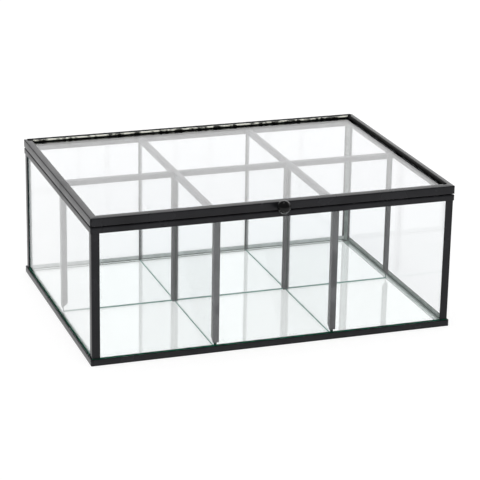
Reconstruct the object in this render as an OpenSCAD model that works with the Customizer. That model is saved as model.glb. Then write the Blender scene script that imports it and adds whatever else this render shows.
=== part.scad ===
// Glass box with a hinged lid and six compartments for tea bags.
// Glass panes stand in a frame of thin black sheet-metal channels.
// Millimetres, +Z up. The origin lies on the table, at the middle of the whole outline.

/* [Box] */
// Width over the corner posts
box_w = 238.6; // [200:0.1:300]
// Depth over the corner posts
box_d = 174.7; // [140:0.1:230]
// Height from the table to the top of the shut lid
box_h = 95.5; // [80:0.1:130]

/* [Glass] */
// Thickness of the four wall panes
wall_glass_t = 2; // [1.6:0.1:3]
// Thickness of the floor pane
floor_glass_t = 1.6; // [1.6:0.1:4]
// Thickness of the divider panes
divider_glass_t = 2; // [1.6:0.1:3]
// Thickness of the lid pane
lid_glass_t = 3; // [2:0.1:4]
// Clearance on each side of a pane in its channel
bed_gap = 0.1; // [0.05:0.01:0.15]
// Clearance at the cut ends of the panes
end_gap = 0.1; // [0.05:0.01:0.3]

/* [Base frame] */
// Height of the upright leg of the base angle
base_h = 4.2; // [3.6:0.1:8]
// Thickness of the upright leg
base_leg_t = 0.9; // [0.6:0.1:1.5]
// Thickness of the lying leg, which carries the floor pane
base_foot_t = 0.5; // [0.4:0.1:1]
// Clearance between the corner posts and the upright leg at the sides
base_gap_side = 0.1; // [0.05:0.05:1]
// Clearance between the corner posts and the upright leg at the front and rear
base_gap_front = 0.7; // [0.2:0.1:1]
// How far the lying leg reaches in past the wall panes at the sides
base_reach_side = 3; // [0.1:0.1:8]
// How far the lying leg reaches in past the wall panes at the front and rear
base_reach_front = 0.3; // [0.1:0.1:8]
// Radius of the outer arrises of the base angle
base_edge_r = 0.4; // [0.1:0.1:0.4]
// Radius of the four corners of the base frame, seen from above
base_corner_r = 1.5; // [0.8:0.1:2]
// Depth of the sealant in the seam below the top of the upright leg
seam_drop = 0.3; // [0.1:0.1:0.8]

/* [Corner posts] */
// Width of each leg of a corner post
post_leg = 5.2; // [4:0.1:8]
// Sheet thickness of a corner post
post_t = 0.6; // [0.4:0.1:1]

/* [Rim] */
// Height of the legs of the rim channel
rim_leg_h = 3.85; // [3:0.05:6]
// Sheet thickness of the rim channel
rim_t = 0.8; // [0.6:0.1:1.2]
// How far the rim stands out past the corner posts
rim_out = 0.5; // [0.3:0.1:1]
// Clearance between the wall panes and the inner leg of the rim
rim_gap = 0.3; // [0.1:0.05:0.6]
// Radius of the corners of the rim, seen from above
rim_corner_r = 0.6; // [0.2:0.1:0.9]

/* [Lid] */
// How far the lid stands out past the corner posts
lid_over = 0.6; // [0:0.1:1.5]
// Gap between the shut lid and the rim
lid_gap = 0.5; // [0.3:0.05:1]
// Thickness of the lips above and below the lid pane
lid_lip_t = 1.1; // [0.9:0.1:1.6]
// Thickness of the outer web of the lid channel
lid_web_t = 1.3; // [0.9:0.1:2]
// Width of the front bar of the lid
lid_front_w = 6; // [4.5:0.1:9]
// Width of the side and rear bars of the lid
lid_side_w = 4.8; // [4:0.1:8]
// Radius of the outer top arris of the lid channel
lid_edge_r = 0.8; // [0.3:0.1:1.1]
// Radius of the inner top arris of the lid channel
lid_lip_r = 0.9; // [0.3:0.1:0.9]
// Radius of the corners of the lid, seen from above
lid_corner_r = 0.8; // [0.3:0.1:1]
// Width and height of the sealant bead along the rear bar
bead_w = 1; // [0.6:0.1:1.5]

/* [Dividers] */
// Sheet thickness of the divider channels
channel_t = 0.8; // [0.6:0.1:1.2]
// Clearance on each side of a divider pane in its channel
channel_gap = 0.2; // [0.1:0.05:0.5]
// Height of the channel that caps a divider
cap_h = 3.5; // [2.4:0.1:5]
// Depth of the upright channels on the front wall
front_channel_d = 4; // [2:0.1:5]
// Depth of the upright channel at the left wall
left_channel_d = 3.6; // [2:0.1:5]
// Depth of the upright channel at the right wall
right_channel_d = 2.8; // [2:0.1:5]
// Distance of the left channel from its wall
left_channel_in = 2.1; // [0:0.1:4]
// Distance of the right channel from its wall
right_channel_in = 2.6; // [0:0.1:4]
// Height of the feet of the wall channels above the floor pane
channel_lift = 3.1; // [0:0.1:10]
// Height of the slanting cut at the foot of a wall channel
channel_snip = 3; // [1:0.1:6]
// Width of a crossing post along the long divider
cross_w = 5.2; // [3:0.1:6]
// Depth of the slots in a crossing post
cross_slot = 0.7; // [0.4:0.1:0.9]
// Distance of the cross of dividers to the right of the middle of the box
cross_right = 0.6; // [0:0.1:1.5]
// Distance of the cross of dividers behind the middle of the box
cross_back = 1.8; // [0:0.1:3]
// Width of the strips behind the rear ends of the dividers
strip_w = 4; // [2.6:0.1:5]
// Distance of these strips to the right of their dividers
strip_right = 0.5; // [0:0.1:0.8]

/* [Knob] */
// Diameter of the ball
knob_d = 8.6; // [6:0.1:12]
// Diameter of the stem
knob_stem_d = 2.6; // [2:0.1:3.2]
// Length of the stem between the lid and the ball
knob_stem_l = 1.2; // [0.8:0.1:4]
// Diameter of the collar on the lid
knob_collar_d = 4.4; // [3.4:0.1:6]
// Thickness of the collar
knob_collar_t = 0.6; // [0.4:0.1:0.8]
// Height of the lid's top above the axis of the knob
knob_drop = 1.8; // [1.4:0.1:3.5]
// Distance of the knob to the right of the middle
knob_x = 1.9; // [-20:0.1:20]

/* [Hinges] */
// Distance from the end of the lid to the middle of each hinge
hinge_inset = 47.9; // [20:0.1:80]
// Outer diameter of the knuckles
knuckle_d = 3; // [2.6:0.1:4]
// Diameter of the pin
pin_d = 1.4; // [1:0.1:1.6]
// Radial running clearance of the pin in the knuckles
pin_gap = 0.04; // [0.02:0.01:0.08]
// Length of each of the two outer knuckles
outer_knuckle_l = 7; // [5:0.5:12]
// Length of the middle knuckle
middle_knuckle_l = 9; // [6:0.5:14]
// Gap between neighbouring knuckles
knuckle_gap = 0.3; // [0.15:0.05:0.5]
// Sheet thickness of the hinge leaves
leaf_t = 0.8; // [0.6:0.1:0.9]
// Clearance between the knuckles and the back of the lid
knuckle_clear = 0.3; // [0.2:0.05:0.6]
// Diameter of the pin's riveted heads
pin_head_d = 2.2; // [1.9:0.1:2.8]
// Thickness of the pin's riveted heads
pin_head_t = 0.6; // [0.4:0.1:1]
// Clearance between the pin's heads and the outer knuckles
pin_head_gap = 0.05; // [0.02:0.01:0.1]

/* [Hidden] */
$fn = 64;

// Base frame and floor
base_side_w = base_leg_t + base_gap_side + post_t + wall_glass_t + base_reach_side;
base_front_w = base_leg_t + base_gap_front + post_t + wall_glass_t + base_reach_front;
base_w = box_w + 2 * (base_leg_t + base_gap_side);
base_d = box_d + 2 * (base_leg_t + base_gap_front);
base_in_x = base_w / 2 - base_leg_t;
base_in_y = base_d / 2 - base_leg_t;
floor_z = base_foot_t + bed_gap;
floor_top = floor_z + floor_glass_t;
seam_h = base_h - seam_drop - floor_top;

// Walls: half sizes of the outer and inner faces of the panes
wall_out_x = box_w / 2 - post_t;
wall_out_y = box_d / 2 - post_t;
wall_in_x = wall_out_x - wall_glass_t;
wall_in_y = wall_out_y - wall_glass_t;

// Lid and rim
lid_h = lid_glass_t + 2 * (lid_lip_t + bed_gap);
lid_z = box_h - lid_h;
lid_w = box_w + 2 * lid_over;
lid_d = box_d + 2 * lid_over;
lid_glass_z = lid_z + lid_lip_t + bed_gap;
rim_top = lid_z - lid_gap;
rim_bottom = rim_top - rim_leg_h;
rim_w = box_w + 2 * rim_out;
rim_d = box_d + 2 * rim_out;
rim_bar_w = rim_out + post_t + wall_glass_t + rim_gap + rim_t;
rim_in_x = rim_w / 2 - rim_bar_w;
rim_in_y = rim_d / 2 - rim_bar_w;
wall_top = rim_top - rim_t - end_gap;

// Dividers: three compartments across, two deep
channel_w = divider_glass_t + 2 * (channel_gap + channel_t);
divider_x = (wall_in_x - divider_glass_t) / 3 + divider_glass_t / 2;
left_x = cross_right - divider_x;
right_x = cross_right + divider_x;
divider_top = rim_top - channel_t - end_gap;
cap_bottom = rim_top - cap_h;
slot_w = divider_glass_t + 2 * end_gap;
cross_d = channel_w + 2 * cross_slot;
channel_foot = floor_top + channel_lift;
left_back = left_channel_in - wall_in_x;
right_back = wall_in_x - right_channel_in;
pane_left = left_back + channel_t + end_gap;
pane_right = right_back - channel_t - end_gap;
pane_end_y = rim_in_y - end_gap;
pane_stop_x = divider_x + cross_w / 2 - cross_slot + end_gap;
pane_inner_x = divider_x - cross_w / 2 + cross_slot - end_gap;
pane_stop_y = channel_w / 2 + end_gap;

// Hinges
hinge_x = lid_w / 2 - hinge_inset;
rear_face = max(lid_d, rim_d) / 2;
axis_y = rear_face + knuckle_clear + knuckle_d / 2;
axis_z = (lid_z + rim_top) / 2;
hinge_l = 2 * (outer_knuckle_l + knuckle_gap) + middle_knuckle_l;
leaf_back = axis_y - knuckle_d / 2 + leaf_t / 2;
lid_leaf_top = box_h - lid_edge_r;

// Knob
ball_out = knob_stem_l + sqrt(pow(knob_d, 2) - pow(knob_stem_d, 2)) / 2;
knob_front = lid_d / 2 + ball_out + knob_d / 2;

// The whole outline reaches from the knob to the hinge knuckles
back_reach = axis_y + knuckle_d / 2;
middle_y = (knob_front - back_reach) / 2;

iron = [0.13, 0.13, 0.135];
clear_glass = [0.85, 0.93, 0.9, 0.35];
sealant = [0.8, 0.8, 0.74];
seam_green = [0.08, 0.24, 0.18];
steel = [0.55, 0.55, 0.56];

// What a corner at the origin loses when it is rounded; the corner points to -X and -Y
module corner_waste(r) difference() {
  translate([-1, -1]) square(r + 1);
  translate([r, r]) circle(r);
}

// Rectangle about the origin with rounded corners
module rounded_rectangle(w, d, r) difference() {
  square([w, d], center = true);
  for (a = [0, 1], b = [0, 1])
    mirror([a, 0]) mirror([0, b]) translate([-w / 2, -d / 2]) corner_waste(r);
}

// Section of a channel on its side that grips a pane: x runs in from the outer face,
// y runs up. high_r and low_r round the outer arrises, lip_r the top inner one.
module side_channel(w, h, lip_t, web_t, high_r, low_r, lip_r) difference() {
  square([w, h]);
  translate([web_t, lip_t]) square([w, h - 2 * lip_t]);
  corner_waste(low_r);
  translate([0, h]) mirror([0, 1]) corner_waste(high_r);
  translate([w, h]) mirror([1, 0]) mirror([0, 1]) corner_waste(lip_r);
}

// Section of an angle: the upright leg is on the outside, the lying leg reaches in under a pane
module angle(w, h, leg_t, foot_t, edge_r) difference() {
  square([w, h]);
  translate([leg_t, foot_t]) square([w, h]);
  corner_waste(edge_r);
  translate([0, h]) mirror([0, 1]) corner_waste(edge_r);
}

// Section of a channel that caps a pane: x runs in from the outer face, y runs up
module cap_channel(w, leg_h, t) difference() {
  square([w, leg_h]);
  translate([t, -t]) square([w - 2 * t, leg_h]);
}

// Moves the box so that the origin is the middle of the whole outline
module in_place() translate([0, middle_y, 0]) children();

// Extrudes a section along X: the section's x becomes +Y and its y becomes +Z
module along_x(length) rotate([90, 0, 90]) linear_extrude(length, center = true) children();

// Front bar of a frame of w by d; the child is its section. It is mitred as far as the end bars
// of the widths in end_w are wide, and a wider bar ends square beyond that.
module mitred_bar(w, d, bar_w, end_w, h, corner_r) {
  left = min(bar_w, end_w[0]);
  right = min(bar_w, end_w[1]);
  intersection() {
    translate([0, -d / 2, 0]) along_x(w) children();
    translate([0, 0, -1]) linear_extrude(h + 2) intersection() {
      rounded_rectangle(w, d, corner_r);
      translate([0, -d / 2]) polygon([
        [-w / 2, 0], [w / 2, 0], [w / 2 - right, right], [w / 2 - right, bar_w],
        [-w / 2 + left, bar_w], [-w / 2 + left, left]
      ]);
    }
  }
}

// A box between two corners
module block(low, high) translate(low) cube(high - low);

// ---- Base ----
// side is 0 for the front bar, 1 for the right, 2 for the rear and 3 for the left one
module base_bar(side) {
  end_bar = side == 1 || side == 3;
  size = end_bar ? [base_d, base_w] : [base_w, base_d];
  bar_w = end_bar ? base_side_w : base_front_w;
  end_w = end_bar ? base_front_w : base_side_w;
  color(iron) in_place() rotate([0, 0, 90 * side])
    mitred_bar(size[0], size[1], bar_w, [end_w, end_w], base_h, base_corner_r)
      angle(bar_w, base_h, base_leg_t, base_foot_t, base_edge_r);
}

module base_glass() {
  half = [base_in_x - end_gap, base_in_y - end_gap];
  color(clear_glass) in_place()
    block([-half[0], -half[1], floor_z], [half[0], half[1], floor_top]);
}

// Sealant between a long wall pane and the base frame; it also fills the gap outside the posts
module seam_seal_long(rear) {
  half = box_w / 2;
  color(seam_green) in_place() mirror([0, 1 - rear, 0]) translate([0, 0, floor_top])
    linear_extrude(seam_h) polygon([
      [-half, base_in_y], [-half, box_d / 2], [post_leg - half, box_d / 2],
      [post_leg - half, wall_out_y], [half - post_leg, wall_out_y], [half - post_leg, box_d / 2],
      [half, box_d / 2], [half, base_in_y]
    ]);
}

// Sealant between a short wall pane and the base frame, from post to post
module seam_seal_short(right) {
  half = box_d / 2 - post_leg;
  color(seam_green) in_place() mirror([1 - right, 0, 0])
    block([wall_out_x, -half, floor_top], [base_in_x, half, floor_top + seam_h]);
}

// ---- Walls ----
module wall_glass_long(front) {
  y = front ? -wall_out_y : wall_in_y;
  color(clear_glass) in_place()
    block([-wall_out_x, y, floor_top], [wall_out_x, y + wall_glass_t, wall_top]);
}

module wall_glass_short(left) {
  x = left ? -wall_out_x : wall_in_x;
  half_l = wall_in_y - end_gap;
  color(clear_glass) in_place()
    block([x, -half_l, floor_top], [x + wall_glass_t, half_l, wall_top]);
}

// Angle in each corner, outside the panes and inside the base frame; right and rear are 1 or -1
module corner_post(right, rear) {
  color(iron) in_place() mirror([1 - right, 0, 0]) mirror([0, 1 - rear, 0]) difference() {
    block([box_w / 2 - post_leg, box_d / 2 - post_leg, floor_top], [box_w / 2, box_d / 2, rim_bottom]);
    block([0, 0, 0], [wall_out_x, wall_out_y, box_h]);
  }
}

module rim_bar(side) {
  end_bar = side == 1 || side == 3;
  size = end_bar ? [rim_d, rim_w] : [rim_w, rim_d];
  color(iron) in_place() translate([0, 0, rim_bottom]) rotate([0, 0, 90 * side])
    mitred_bar(size[0], size[1], rim_bar_w, [rim_bar_w, rim_bar_w], rim_leg_h, rim_corner_r)
      cap_channel(rim_bar_w, rim_leg_h, rim_t);
}

// ---- Dividers ----
module long_divider(x_low, x_high) {
  half_t = divider_glass_t / 2;
  color(clear_glass) in_place()
    block([x_low, cross_back - half_t, floor_top], [x_high, cross_back + half_t, divider_top]);
}

module short_divider(x, y_low, y_high) {
  half_t = divider_glass_t / 2;
  color(clear_glass) in_place()
    block([x - half_t, y_low, floor_top], [x + half_t, y_high, divider_top]);
}

// Post at a crossing, slotted for the four panes that meet there
module crossing_post(x) {
  half_w = cross_w / 2;
  half_d = cross_d / 2;
  half_slot = slot_w / 2;
  color(iron) in_place() translate([x, cross_back, 0]) difference() {
    block([-half_w, -half_d, floor_top], [half_w, half_d, cap_bottom]);
    for (s = [-1, 1]) {
      translate([s * half_w, 0, box_h / 2]) cube([2 * cross_slot, slot_w, box_h], center = true);
      translate([0, s * half_d, box_h / 2]) cube([slot_w, 2 * cross_slot, box_h], center = true);
    }
  }
}

// Upright channel for the end of a divider, open towards +Y, with its back on y = 0. Its foot
// stops above the floor and is snipped off slantwise.
module wall_channel(depth, top) {
  half_w = channel_w / 2;
  difference() {
    block([-half_w, 0, channel_foot], [half_w, depth, top]);
    block([-half_w + channel_t, channel_t, 0], [half_w - channel_t, depth + 1, box_h]);
    along_x(channel_w + 1) polygon([
      [channel_t, 0], [channel_t, channel_foot], [depth, channel_foot + channel_snip],
      [depth + 1, channel_foot + channel_snip], [depth + 1, 0]
    ]);
  }
}

module wall_channel_front(x) color(iron) in_place() translate([x, -wall_in_y, 0])
  wall_channel(front_channel_d, rim_bottom);

// The side channels reach up to the cap that they carry
module wall_channel_left() color(iron) in_place()
  translate([left_back, cross_back, 0]) rotate([0, 0, -90])
  wall_channel(left_channel_d, cap_bottom);

module wall_channel_right() color(iron) in_place()
  translate([right_back, cross_back, 0]) rotate([0, 0, 90])
  wall_channel(right_channel_d, cap_bottom);

module rear_strip(x) {
  x_low = x + strip_right - strip_w / 2;
  color(iron) in_place()
    block([x_low, rim_in_y, floor_top], [x_low + strip_w, wall_in_y, rim_bottom]);
}

module cap_section() translate([-channel_w / 2, 0]) cap_channel(channel_w, cap_h, channel_t);

module long_cap() {
  color(iron) in_place() translate([0, cross_back, cap_bottom]) along_x(2 * rim_in_x) cap_section();
}

// rear is -1 for the front row of compartments and 1 for the rear row
module short_cap(x, rear) {
  length = rim_in_y - channel_w / 2 - rear * cross_back;
  middle = cross_back + rear * (channel_w / 2 + length / 2);
  color(iron) in_place() translate([x, middle, cap_bottom])
    rotate([0, 0, 90]) along_x(length) cap_section();
}

// ---- Hinges ----
module knuckle(x, length) {
  translate([x, axis_y, axis_z]) rotate([0, 90, 0]) cylinder(d = knuckle_d, h = length, center = true);
}

module pin_bore() {
  translate([0, axis_y, axis_z]) rotate([0, 90, 0])
    cylinder(d = pin_d + 2 * pin_gap, h = 2 * hinge_l, center = true);
}

// side is -1 for the left hinge and 1 for the right one
module hinge_box_leaf(side) {
  half_l = hinge_l / 2;
  half_m = middle_knuckle_l / 2 + knuckle_gap;
  notch_z = axis_z - knuckle_d / 2 - knuckle_clear;
  color(iron) in_place() translate([side * hinge_x, 0, 0]) difference() {
    union() {
      block([-half_l, rim_d / 2, rim_bottom], [half_l, leaf_back, axis_z]);
      for (s = [-1, 1]) knuckle(s * (half_l - outer_knuckle_l / 2), outer_knuckle_l);
    }
    pin_bore();
    block([-half_m, 0, notch_z], [half_m, box_d, box_h]);
    block([-half_l - 1, 0, rim_top], [half_l + 1, axis_y - knuckle_d / 2, box_h]);
  }
}

module hinge_lid_leaf(side) {
  half_l = hinge_l / 2;
  half_m = middle_knuckle_l / 2;
  wing_z = axis_z + knuckle_d / 2 + knuckle_clear;
  color(iron) in_place() translate([side * hinge_x, 0, 0]) difference() {
    union() {
      block([-half_m, lid_d / 2, lid_z], [half_m, leaf_back, lid_leaf_top]);
      block([-half_l, lid_d / 2, wing_z], [half_l, leaf_back, lid_leaf_top]);
      knuckle(0, middle_knuckle_l);
    }
    pin_bore();
  }
}

module hinge_pin(side) {
  half_l = hinge_l / 2 + pin_head_gap;
  color(steel) in_place() translate([side * hinge_x, axis_y, axis_z]) rotate([0, 90, 0]) {
    cylinder(d = pin_d, h = 2 * half_l, center = true);
    for (s = [-1, 1]) translate([0, 0, s * (half_l + pin_head_t / 2)])
      cylinder(d = pin_head_d, h = pin_head_t, center = true);
  }
}

// ---- Lid ----
module lid_bar(side) {
  bar_w = side == 0 ? lid_front_w : lid_side_w;
  size = side == 1 || side == 3 ? [lid_d, lid_w] : [lid_w, lid_d];
  end_w = side == 1 ? [lid_front_w, lid_side_w]
        : side == 3 ? [lid_side_w, lid_front_w]
        : [lid_side_w, lid_side_w];
  color(iron) in_place() translate([0, 0, lid_z]) rotate([0, 0, 90 * side])
    mitred_bar(size[0], size[1], bar_w, end_w, lid_h, lid_corner_r)
      side_channel(bar_w, lid_h, lid_lip_t, lid_web_t, lid_edge_r, lid_edge_r / 2, lid_lip_r);
}

module lid_glass() {
  half = [lid_w / 2 - lid_web_t - end_gap, lid_d / 2 - lid_web_t - end_gap];
  color(clear_glass) in_place()
    block([-half[0], -half[1], lid_glass_z], [half[0], half[1], lid_glass_z + lid_glass_t]);
}

// Quarter-round bead in the corner between the rear bar and the lid pane
module lid_rear_bead() {
  corner_y = lid_d / 2 - lid_side_w;
  corner_z = lid_glass_z + lid_glass_t;
  length = lid_w - 2 * lid_side_w;
  color(sealant) in_place() intersection() {
    translate([0, corner_y, corner_z]) rotate([0, 90, 0]) cylinder(r = bead_w, h = length, center = true);
    block([-length, corner_y - 2 * bead_w, corner_z], [length, corner_y, corner_z + 2 * bead_w]);
  }
}

// Ball, stem and collar turned in one piece
module lid_knob() {
  color(iron) in_place() translate([knob_x, -lid_d / 2, box_h - knob_drop]) rotate([90, 0, 0])
    rotate_extrude() {
      square([knob_collar_d / 2, knob_collar_t]);
      square([knob_stem_d / 2, ball_out]);
      intersection() {
        translate([0, ball_out]) circle(knob_d / 2);
        square([knob_d, knob_d + knob_stem_l]);
      }
    }
}

base_glass();
base_bar(0);  // base_bar_front
base_bar(1);  // base_bar_right
base_bar(2);  // base_bar_rear
base_bar(3);  // base_bar_left
seam_seal_long(-1);  // seam_seal_front
seam_seal_long(1);  // seam_seal_rear
seam_seal_short(-1);  // seam_seal_left
seam_seal_short(1);  // seam_seal_right
wall_glass_long(true);  // wall_glass_front
wall_glass_long(false);  // wall_glass_rear
wall_glass_short(true);  // wall_glass_left
wall_glass_short(false);  // wall_glass_right
corner_post(-1, -1);  // corner_post_front_left
corner_post(1, -1);  // corner_post_front_right
corner_post(-1, 1);  // corner_post_rear_left
corner_post(1, 1);  // corner_post_rear_right
rim_bar(0);  // rim_bar_front
rim_bar(1);  // rim_bar_right
rim_bar(2);  // rim_bar_rear
rim_bar(3);  // rim_bar_left
long_divider(pane_left, cross_right - pane_stop_x);  // long_divider_left
long_divider(cross_right - pane_inner_x, cross_right + pane_inner_x);  // long_divider_middle
long_divider(cross_right + pane_stop_x, pane_right);  // long_divider_right
short_divider(left_x, -pane_end_y, cross_back - pane_stop_y);  // short_divider_front_left
short_divider(right_x, -pane_end_y, cross_back - pane_stop_y);  // short_divider_front_right
short_divider(left_x, cross_back + pane_stop_y, pane_end_y);  // short_divider_rear_left
short_divider(right_x, cross_back + pane_stop_y, pane_end_y);  // short_divider_rear_right
crossing_post(left_x);  // crossing_post_left
crossing_post(right_x);  // crossing_post_right
wall_channel_front(left_x);  // wall_channel_front_left
wall_channel_front(right_x);  // wall_channel_front_right
wall_channel_left();
wall_channel_right();
rear_strip(left_x);  // rear_strip_left
rear_strip(right_x);  // rear_strip_right
long_cap();
short_cap(left_x, -1);  // short_cap_front_left
short_cap(right_x, -1);  // short_cap_front_right
short_cap(left_x, 1);  // short_cap_rear_left
short_cap(right_x, 1);  // short_cap_rear_right
hinge_box_leaf(-1);  // hinge_left_box_leaf
hinge_box_leaf(1);  // hinge_right_box_leaf
hinge_lid_leaf(-1);  // hinge_left_lid_leaf
hinge_lid_leaf(1);  // hinge_right_lid_leaf
hinge_pin(-1);  // hinge_left_pin
hinge_pin(1);  // hinge_right_pin
lid_glass();
lid_bar(0);  // lid_bar_front
lid_bar(1);  // lid_bar_right
lid_bar(2);  // lid_bar_rear
lid_bar(3);  // lid_bar_left
lid_rear_bead();
lid_knob();
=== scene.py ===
# %% Load the solid model
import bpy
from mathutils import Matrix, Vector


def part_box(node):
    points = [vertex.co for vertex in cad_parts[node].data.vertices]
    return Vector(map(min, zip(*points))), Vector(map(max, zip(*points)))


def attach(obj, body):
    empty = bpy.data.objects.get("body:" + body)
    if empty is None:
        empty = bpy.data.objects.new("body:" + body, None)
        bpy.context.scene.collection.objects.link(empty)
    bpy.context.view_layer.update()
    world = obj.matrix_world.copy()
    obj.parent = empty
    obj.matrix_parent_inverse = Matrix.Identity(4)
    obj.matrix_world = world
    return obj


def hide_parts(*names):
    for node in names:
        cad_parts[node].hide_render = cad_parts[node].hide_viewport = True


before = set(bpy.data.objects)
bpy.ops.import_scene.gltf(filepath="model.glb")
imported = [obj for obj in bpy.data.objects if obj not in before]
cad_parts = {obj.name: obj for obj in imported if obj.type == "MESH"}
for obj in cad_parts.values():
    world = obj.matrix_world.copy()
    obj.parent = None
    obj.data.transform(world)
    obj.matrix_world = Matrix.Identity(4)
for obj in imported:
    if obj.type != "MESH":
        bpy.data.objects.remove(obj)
print("solid pieces:", len(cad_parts))

# %% [markdown]
# # A glass box with a hinged lid for tea bags
#
# The real box is made the way a stained-glass maker works: flat panes are cut, thin metal
# channels are folded around their edges, and the corners are soldered and painted black.
# The solid model already holds every piece at its true size. This file gives each piece its
# finish, and rebuilds those whose small shapes matter to the eye: ground glass edges, rounded
# sheet-metal arrises, lumps of solder, and a bead of clear sealant.

# %% Modules and sizes
import bmesh
import bpy
import math
from mathutils import Matrix, Vector

MM = 0.001
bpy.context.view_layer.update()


def span(node, axis):
    """Lowest and highest value of a node of the solid model along one axis."""
    low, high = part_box(node)
    return low[axis], high[axis]


# The box itself is centred a little behind the origin, because the knob sticks out in front.
middle_y = sum(span("base_glass", 1)) / 2
print("middle of the box, mm:", round(middle_y / MM, 2))

# %% [markdown]
# ## Camera
# The photograph was taken from the front left and a little above, through a long lens. Its
# place was worked out from the straight edges of the box: with eight or more corners whose
# real places are known, only one place, direction and lens put them all where the picture
# shows them. The slight roll is the tilt of the photographer's camera.

# %% Camera
CAMERA_PLACE = Vector((-407.6, -1187.5, 480.0)) * MM
CAMERA_TURN = math.radians(19.202)
CAMERA_DIP = math.radians(19.266)
CAMERA_ROLL = math.radians(1.023)
LENS_MM = 149.7

camera_data = bpy.data.cameras.new("camera")
camera_data.lens = LENS_MM
camera_data.sensor_width = 36
camera = bpy.data.objects.new("camera", camera_data)
bpy.context.scene.collection.objects.link(camera)
bpy.context.scene.camera = camera

forward = Vector((math.sin(CAMERA_TURN) * math.cos(CAMERA_DIP),
                  math.cos(CAMERA_TURN) * math.cos(CAMERA_DIP), -math.sin(CAMERA_DIP)))
level_right = Vector((math.cos(CAMERA_TURN), -math.sin(CAMERA_TURN), 0))
level_up = level_right.cross(forward)
right = math.cos(CAMERA_ROLL) * level_right + math.sin(CAMERA_ROLL) * level_up
up = math.cos(CAMERA_ROLL) * level_up - math.sin(CAMERA_ROLL) * level_right
camera.matrix_world = (Matrix.Translation(CAMERA_PLACE + Vector((0, middle_y, 0)))
                       @ Matrix((right, up, -forward)).transposed().to_4x4())
print("camera looks along", [round(v, 3) for v in forward])

# %% [markdown]
# ## Node helper
# Shader trees and geometry trees are built from the same few steps: add a node, set its
# values, link its inputs. One helper does this for both, so that the later cells read as a
# list of what is mixed with what.


# %% A helper that adds a node
def add(tree, kind, inputs=None, **settings):
    """Add a node. An input may be given a value or the output socket that feeds it."""
    made = tree.nodes.new(kind)
    for name, value in settings.items():
        setattr(made, name, value)
    for key, value in (inputs or {}).items():
        if isinstance(value, bpy.types.NodeSocket):
            tree.links.new(value, made.inputs[key])
        else:
            made.inputs[key].default_value = value
    return made


def new_material(name):
    """An empty node material and its output node."""
    material = bpy.data.materials.new(name)
    material.use_nodes = True
    material.node_tree.nodes.clear()
    output = material.node_tree.nodes.new("ShaderNodeOutputMaterial")
    return material, material.node_tree, output


def seen_directly(tree):
    """1 for rays that come from the camera, a reflection or a pane, and 0 for soft light.

    A ray that met a matt surface on its way is soft light too, also when it left by a pane.
    """
    path = add(tree, "ShaderNodeLightPath")
    either = add(tree, "ShaderNodeMath", {0: path.outputs["Is Camera Ray"],
                                          1: path.outputs["Is Glossy Ray"]}, operation="MAXIMUM")
    either = add(tree, "ShaderNodeMath", {0: either.outputs[0],
                                          1: path.outputs["Is Transmission Ray"]},
                 operation="MAXIMUM")
    sharp = add(tree, "ShaderNodeMath", {0: path.outputs["Diffuse Depth"], 1: 0.5},
                operation="LESS_THAN")
    return add(tree, "ShaderNodeMath", {0: either.outputs[0], 1: sharp.outputs[0]},
               operation="MULTIPLY").outputs[0]


# %% [markdown]
# ## Studio
# The box stands on a white table in a white room. Glass and black paint show little of their
# own: what the eye reads is the room mirrored in them. So the room matters more than the
# lamps. The wall behind the box and to its right is white, and the glass lid and the flat
# tops of the bars mirror it at this low angle. The ceiling and the left are dark, and so
# every rounded edge, which turns away from the wall within a millimetre, draws a dark line.
# The world is therefore a ramp over the direction of the ray where it is seen or mirrored, and
# an even soft grey where it only lights the object. A broad lamp behind models the frame, and
# a small bright one overhead makes the spark on the knob.

# %% World
AMBIENT = 0.62
WALL_WHITE = 1.0
WALL_TOP = 0.5
CEILING_FROM = 0.75
WALL_FROM_X = 0.0
WALL_FULL_X = 0.14
WALL_HALF_Y = 0.3
CEILING_DARK = 0.12
world = bpy.data.worlds.new("white room")
bpy.context.scene.world = world
world.use_nodes = True
world.node_tree.nodes.clear()
room = world.node_tree
soft = add(room, "ShaderNodeBackground", {"Color": (1, 1, 1, 1), "Strength": AMBIENT})
direction = add(room, "ShaderNodeTexCoord").outputs["Generated"]
way = add(room, "ShaderNodeSeparateXYZ", {0: direction})
ceiling = add(room, "ShaderNodeMapRange", {"Value": way.outputs["Z"], "From Min": WALL_TOP,
                                           "From Max": CEILING_FROM, "To Min": 1.0,
                                           "To Max": 0.0}, interpolation_type="SMOOTHSTEP")
rear = add(room, "ShaderNodeMapRange", {"Value": way.outputs["Y"], "From Min": -WALL_HALF_Y,
                                        "From Max": WALL_HALF_Y},
           interpolation_type="SMOOTHSTEP")
aside = add(room, "ShaderNodeMapRange", {"Value": way.outputs["X"], "From Min": WALL_FROM_X,
                                         "From Max": WALL_FULL_X},
            interpolation_type="SMOOTHSTEP")
wall = add(room, "ShaderNodeMath", {0: ceiling.outputs[0], 1: rear.outputs[0]},
           operation="MULTIPLY").outputs[0]
wall = add(room, "ShaderNodeMath", {0: wall, 1: aside.outputs[0]},
           operation="MULTIPLY").outputs[0]
wall = add(room, "ShaderNodeMapRange", {"Value": wall, "To Min": CEILING_DARK,
                                        "To Max": WALL_WHITE}).outputs[0]
seen = add(room, "ShaderNodeBackground", {"Color": (1, 1, 1, 1), "Strength": wall})
mixed = add(room, "ShaderNodeMixShader", {0: seen_directly(room), 1: soft.outputs[0],
                                          2: seen.outputs[0]})
add(room, "ShaderNodeOutputWorld", {"Surface": mixed.outputs[0]})
print("wall", WALL_WHITE, "up to", WALL_TOP, "and ceiling", CEILING_DARK, "from", CEILING_FROM)

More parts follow.
